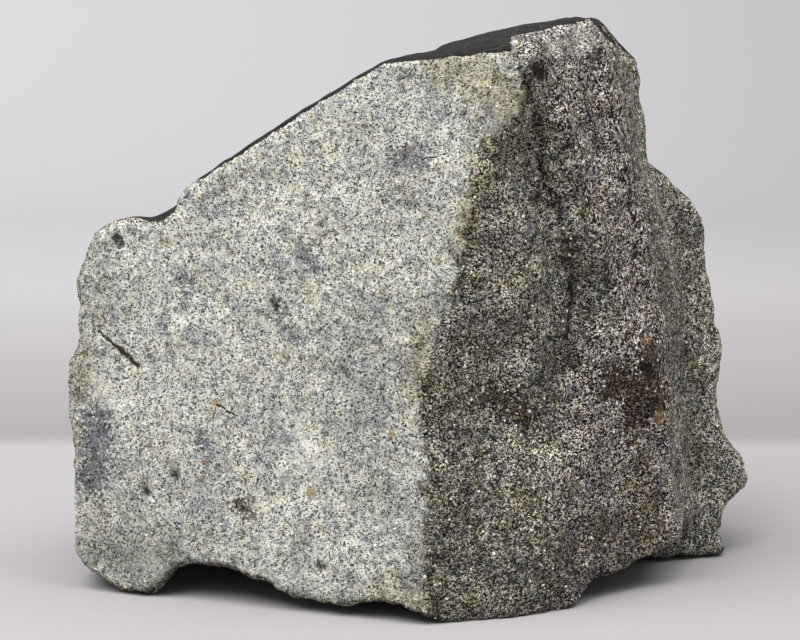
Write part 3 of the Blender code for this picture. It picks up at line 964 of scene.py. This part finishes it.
def grain_tree(material):
    """Scatters small uneven lumps over a surface, sunk into it by part of their radius."""
    tree = bpy.data.node_groups.new("grains_on_the_breaks", "GeometryNodeTree")
    sockets = (
        ("Surface", "INPUT", "NodeSocketGeometry"),
        ("Grains per square metre", "INPUT", "NodeSocketFloat"),
        ("Smallest radius", "INPUT", "NodeSocketFloat"),
        ("Largest radius", "INPUT", "NodeSocketFloat"),
        ("Seed", "INPUT", "NodeSocketInt"),
        ("Grains", "OUTPUT", "NodeSocketGeometry"),
    )
    for name, way, kind in sockets:
        tree.interface.new_socket(name, in_out=way, socket_type=kind)
    given = tree.nodes.new("NodeGroupInput").outputs
    share = add_node(
        tree, "GeometryNodeInputNamedAttribute", {"Name": "grain_share"}, data_type="FLOAT",
    )
    density = add_node(
        tree, "ShaderNodeMath", {0: share, 1: given["Grains per square metre"]},
        operation="MULTIPLY",
    )
    points = add_node(
        tree, "GeometryNodeDistributePointsOnFaces",
        {"Mesh": given["Surface"], "Density": density, "Seed": given["Seed"]},
    )
    outwards = points.node.outputs["Normal"]
    radius = add_node(
        tree, "FunctionNodeRandomValue",
        {LOWEST: given["Smallest radius"], HIGHEST: given["Largest radius"], "Seed": 1},
        RANDOM_NUMBER,
    )
    sunk = add_node(tree, "ShaderNodeMath", {0: radius, 1: -GRAIN_SUNK}, operation="MULTIPLY")
    offset = add_node(
        tree, "ShaderNodeVectorMath", {0: outwards, "Scale": sunk}, operation="SCALE",
    )
    points = add_node(tree, "GeometryNodeSetPosition", {"Geometry": points, "Offset": offset})
    squash = add_node(
        tree, "FunctionNodeRandomValue", {0: GRAIN_FLATTEST, 1: GRAIN_LONGEST, "Seed": 2},
        data_type="FLOAT_VECTOR",
    )
    scale = add_node(
        tree, "ShaderNodeVectorMath", {0: squash, "Scale": radius}, operation="SCALE",
    )
    turn = add_node(
        tree, "FunctionNodeRandomValue", {0: (0, 0, 0), 1: (math.tau,) * 3, "Seed": 3},
        data_type="FLOAT_VECTOR",
    )
    lump = add_node(tree, "GeometryNodeMeshIcoSphere", {"Radius": 1, "Subdivisions": 1})
    grains = add_node(
        tree, "GeometryNodeInstanceOnPoints",
        {"Points": points, "Instance": lump, "Rotation": turn, "Scale": scale},
    )
    tone = add_node(
        tree, "FunctionNodeRandomValue", {LOWEST: 0.0, HIGHEST: 1.0, "Seed": 4}, RANDOM_NUMBER,
    )
    grains = add_node(
        tree, "GeometryNodeStoreNamedAttribute",
        {"Geometry": grains, "Name": "grain_tone", "Value": tone},
        data_type="FLOAT", domain="INSTANCE",
    )
    grains = add_node(tree, "GeometryNodeRealizeInstances", {"Geometry": grains})
    grains = add_node(
        tree, "GeometryNodeSetMaterial", {"Geometry": grains, "Material": material},
    )
    add_node(tree, "NodeGroupOutput", {"Grains": grains})
    return tree


def add_piece(name, mesh):
    piece = bpy.data.objects.new(name, mesh)
    bpy.context.scene.collection.objects.link(piece)
    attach(piece, "root")
    return piece


def make_grains(surface):
    """The grains that stand out of the broken faces, as one plain mesh."""
    base = bpy.data.objects.new("grain_base", surface)
    bpy.context.scene.collection.objects.link(base)
    scatter = base.modifiers.new("scattered_grains", "NODES")
    scatter.node_group = grain_tree(grain_material())
    values = {
        "Grains per square metre": GRAINS_PER_CM2 * 100**2,
        "Smallest radius": GRAIN_RADIUS[0] * MM,
        "Largest radius": GRAIN_RADIUS[1] * MM,
        "Seed": GRAIN_SEED,
    }
    for item in scatter.node_group.interface.items_tree:
        if item.name in values:
            scatter[item.identifier] = values[item.name]
    depsgraph = bpy.context.evaluated_depsgraph_get()
    mesh = bpy.data.meshes.new_from_object(base.evaluated_get(depsgraph))
    mesh.name = "silicate_grains"
    bpy.data.objects.remove(base)
    add_piece("silicate_grains", mesh)


def make_stone():
    surface = even_mesh(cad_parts["meteorite"])
    surface.name = "stone_surface"
    shape_surface(surface)
    for face in surface.polygons:
        face.use_smooth = True
    surface.materials.clear()
    surface.materials.append(stone_material())
    stone = add_piece("stone_surface", surface)
    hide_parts("meteorite")
    make_grains(surface)


# Floor, light and camera
FLOOR_END = 900
BEND_RADIUS = 500
BEND_STEPS = 12
WALL_TOP = 2600
SHEET_FRONT = -3000
SHEET_HALF_WIDTH = 3500
SHEET_IOR = 1.5
SHEET_ROUGHNESS = 0.9
# The paper's fibres are about 1 mm long and 0.1 mm high. The sheet's material counts in
# metres.
PAPER_FIBRES = {"Scale": 900, "Detail": 3}
FIBRE_BUMP = {"Strength": 0.3, "Distance": 0.1 * MM}
# The sheet's tone, by how far back and how far up a place on it lies: past the line behind
# the stone it is painted darker where it turns from the light, painted shade, and paler
# again further up.
SHEET_RANGE = {"From Min": -0.3, "From Max": 1.7}
SHEET_TONES = (
    (0.0, "928f90"), (0.228, "908d8e"), (0.236, "7a7778"), (0.32, "8c898a"),
    (0.42, "9d9b9d"), (0.65, "a5a4a6"), (0.85, "a7a6a8"),
)
# It is painted a little darker on the right: painted shade, as if the light fell off there.
SHEET_SIDE_RANGE = {"From Min": -0.35, "From Max": 0.35}
SHEET_SIDE_SHADE = ((0.0, "fbfbfb"), (0.5, "f4f3f3"), (1.0, "e6e4e4"))


def sheet_material():
    """White paper sheet: pressed wood fibre, uncoated, so it is matt with a faint mottle."""
    material = bpy.data.materials.new("pale_paper")
    material.use_nodes = True
    tree = material.node_tree
    tree.nodes.clear()
    place = add_node(tree, "ShaderNodeTexCoord", {}, "Object")
    across = add_node(tree, "ShaderNodeSeparateXYZ", {0: place}, "X")
    back = across.node.outputs["Y"]
    up = across.node.outputs["Z"]
    way = add_node(tree, "ShaderNodeMath", {0: back, 1: up}, operation="ADD")
    way = add_node(tree, "ShaderNodeMapRange", {"Value": way, **SHEET_RANGE})
    tone = add_node(tree, "ShaderNodeValToRGB", {0: way}, stops=SHEET_TONES)
    side = add_node(tree, "ShaderNodeMapRange", {"Value": across, **SHEET_SIDE_RANGE})
    shade = add_node(tree, "ShaderNodeValToRGB", {0: side}, stops=SHEET_SIDE_SHADE)
    tone = add_node(
        tree, "ShaderNodeMix", {SHARE: 1, UNDER: tone, OVER: shade}, MIXED,
        data_type="RGBA", blend_type="MULTIPLY",
    )
    fibres = add_node(tree, "ShaderNodeTexNoise", {"Vector": place, **PAPER_FIBRES})
    bump = add_node(tree, "ShaderNodeBump", {"Height": fibres, **FIBRE_BUMP})
    shader = add_node(
        tree, "ShaderNodeBsdfPrincipled",
        {"Base Color": tone, "Normal": bump, "Roughness": SHEET_ROUGHNESS, "IOR": SHEET_IOR},
    )
    add_node(tree, "ShaderNodeOutputMaterial", {"Surface": shader})
    return material


def make_stage():
    """A sheet that runs to the back and curves up."""
    profile = [(SHEET_FRONT, 0), (FLOOR_END, 0)]
    for step in range(1, BEND_STEPS + 1):
        angle = math.radians(90 * step / BEND_STEPS)
        rise = BEND_RADIUS * (1 - math.cos(angle))
        profile.append((FLOOR_END + BEND_RADIUS * math.sin(angle), rise))
    profile.append((FLOOR_END + BEND_RADIUS, WALL_TOP))
    sides = (-SHEET_HALF_WIDTH, SHEET_HALF_WIDTH)
    points = [(x * MM, y * MM, z * MM) for y, z in profile for x in sides]
    rows = range(len(profile) - 1)
    faces = [(2 * row, 2 * row + 1, 2 * row + 3, 2 * row + 2) for row in rows]
    mesh = bpy.data.meshes.new("pale_sheet")
    mesh.from_pydata(points, [], faces)
    for face in mesh.polygons:
        face.use_smooth = True
    mesh.materials.append(sheet_material())
    sheet = bpy.data.objects.new("pale_sheet", mesh)
    bpy.context.scene.collection.objects.link(sheet)


ROOM_LIGHT = 0.5
LIGHT_COLOUR = "ffffff"
# A soft light is its name, its place, what it points at and its size, all in metres, and
# its power in watts. One is broad, like a window on the left, and one hangs above.
SOFT_LIGHTS = (
    ("window_light", (-0.85, -0.75, 2), (0, 0, 0.08), 1.8, 100),
    ("top_light", (0.55, -0.1, 1.3), (0.05, 0, 0), 1.1, 18),
)


def make_light():
    """Even room light and the soft lights."""
    world = bpy.data.worlds.new("soft_room_light")
    bpy.context.scene.world = world
    world.use_nodes = True
    background = world.node_tree.nodes["Background"]
    background.inputs["Color"].default_value = linear(LIGHT_COLOUR)
    background.inputs["Strength"].default_value = ROOM_LIGHT
    for name, place, aim, size, power in SOFT_LIGHTS:
        light = bpy.data.lights.new(name, "AREA")
        light.energy = power
        light.size = size
        light.color = linear(LIGHT_COLOUR)[:3]
        lamp = bpy.data.objects.new(name, light)
        lamp.location = place
        way = Vector(aim) - Vector(place)
        lamp.rotation_euler = way.to_track_quat("-Z", "Y").to_euler()
        bpy.context.scene.collection.objects.link(lamp)


# The camera looks slightly down at the ridge. Its place, its lens and its sensor are in
# millimetres, and what is nearer than the last, in metres, isn't drawn.
CAMERA_PLACE = (-4, -620, 169.2)
CAMERA_PITCH = 9
CAMERA_LENS = 100
CAMERA_SENSOR = 36
CAMERA_NEAREST = 0.01


def make_camera():
    camera = bpy.data.cameras.new("camera")
    camera.lens = CAMERA_LENS
    camera.sensor_width = CAMERA_SENSOR
    camera.clip_start = CAMERA_NEAREST
    eye = bpy.data.objects.new("camera", camera)
    eye.location = [(value - middle) * MM for value, middle in zip(CAMERA_PLACE, PLAN_MIDDLE)]
    eye.rotation_euler = (math.radians(90 - CAMERA_PITCH), 0, 0)
    bpy.context.scene.collection.objects.link(eye)
    bpy.context.scene.camera = eye


make_stone()
make_stage()
make_light()
make_camera()
bpy.context.scene.view_settings.view_transform = "Standard"
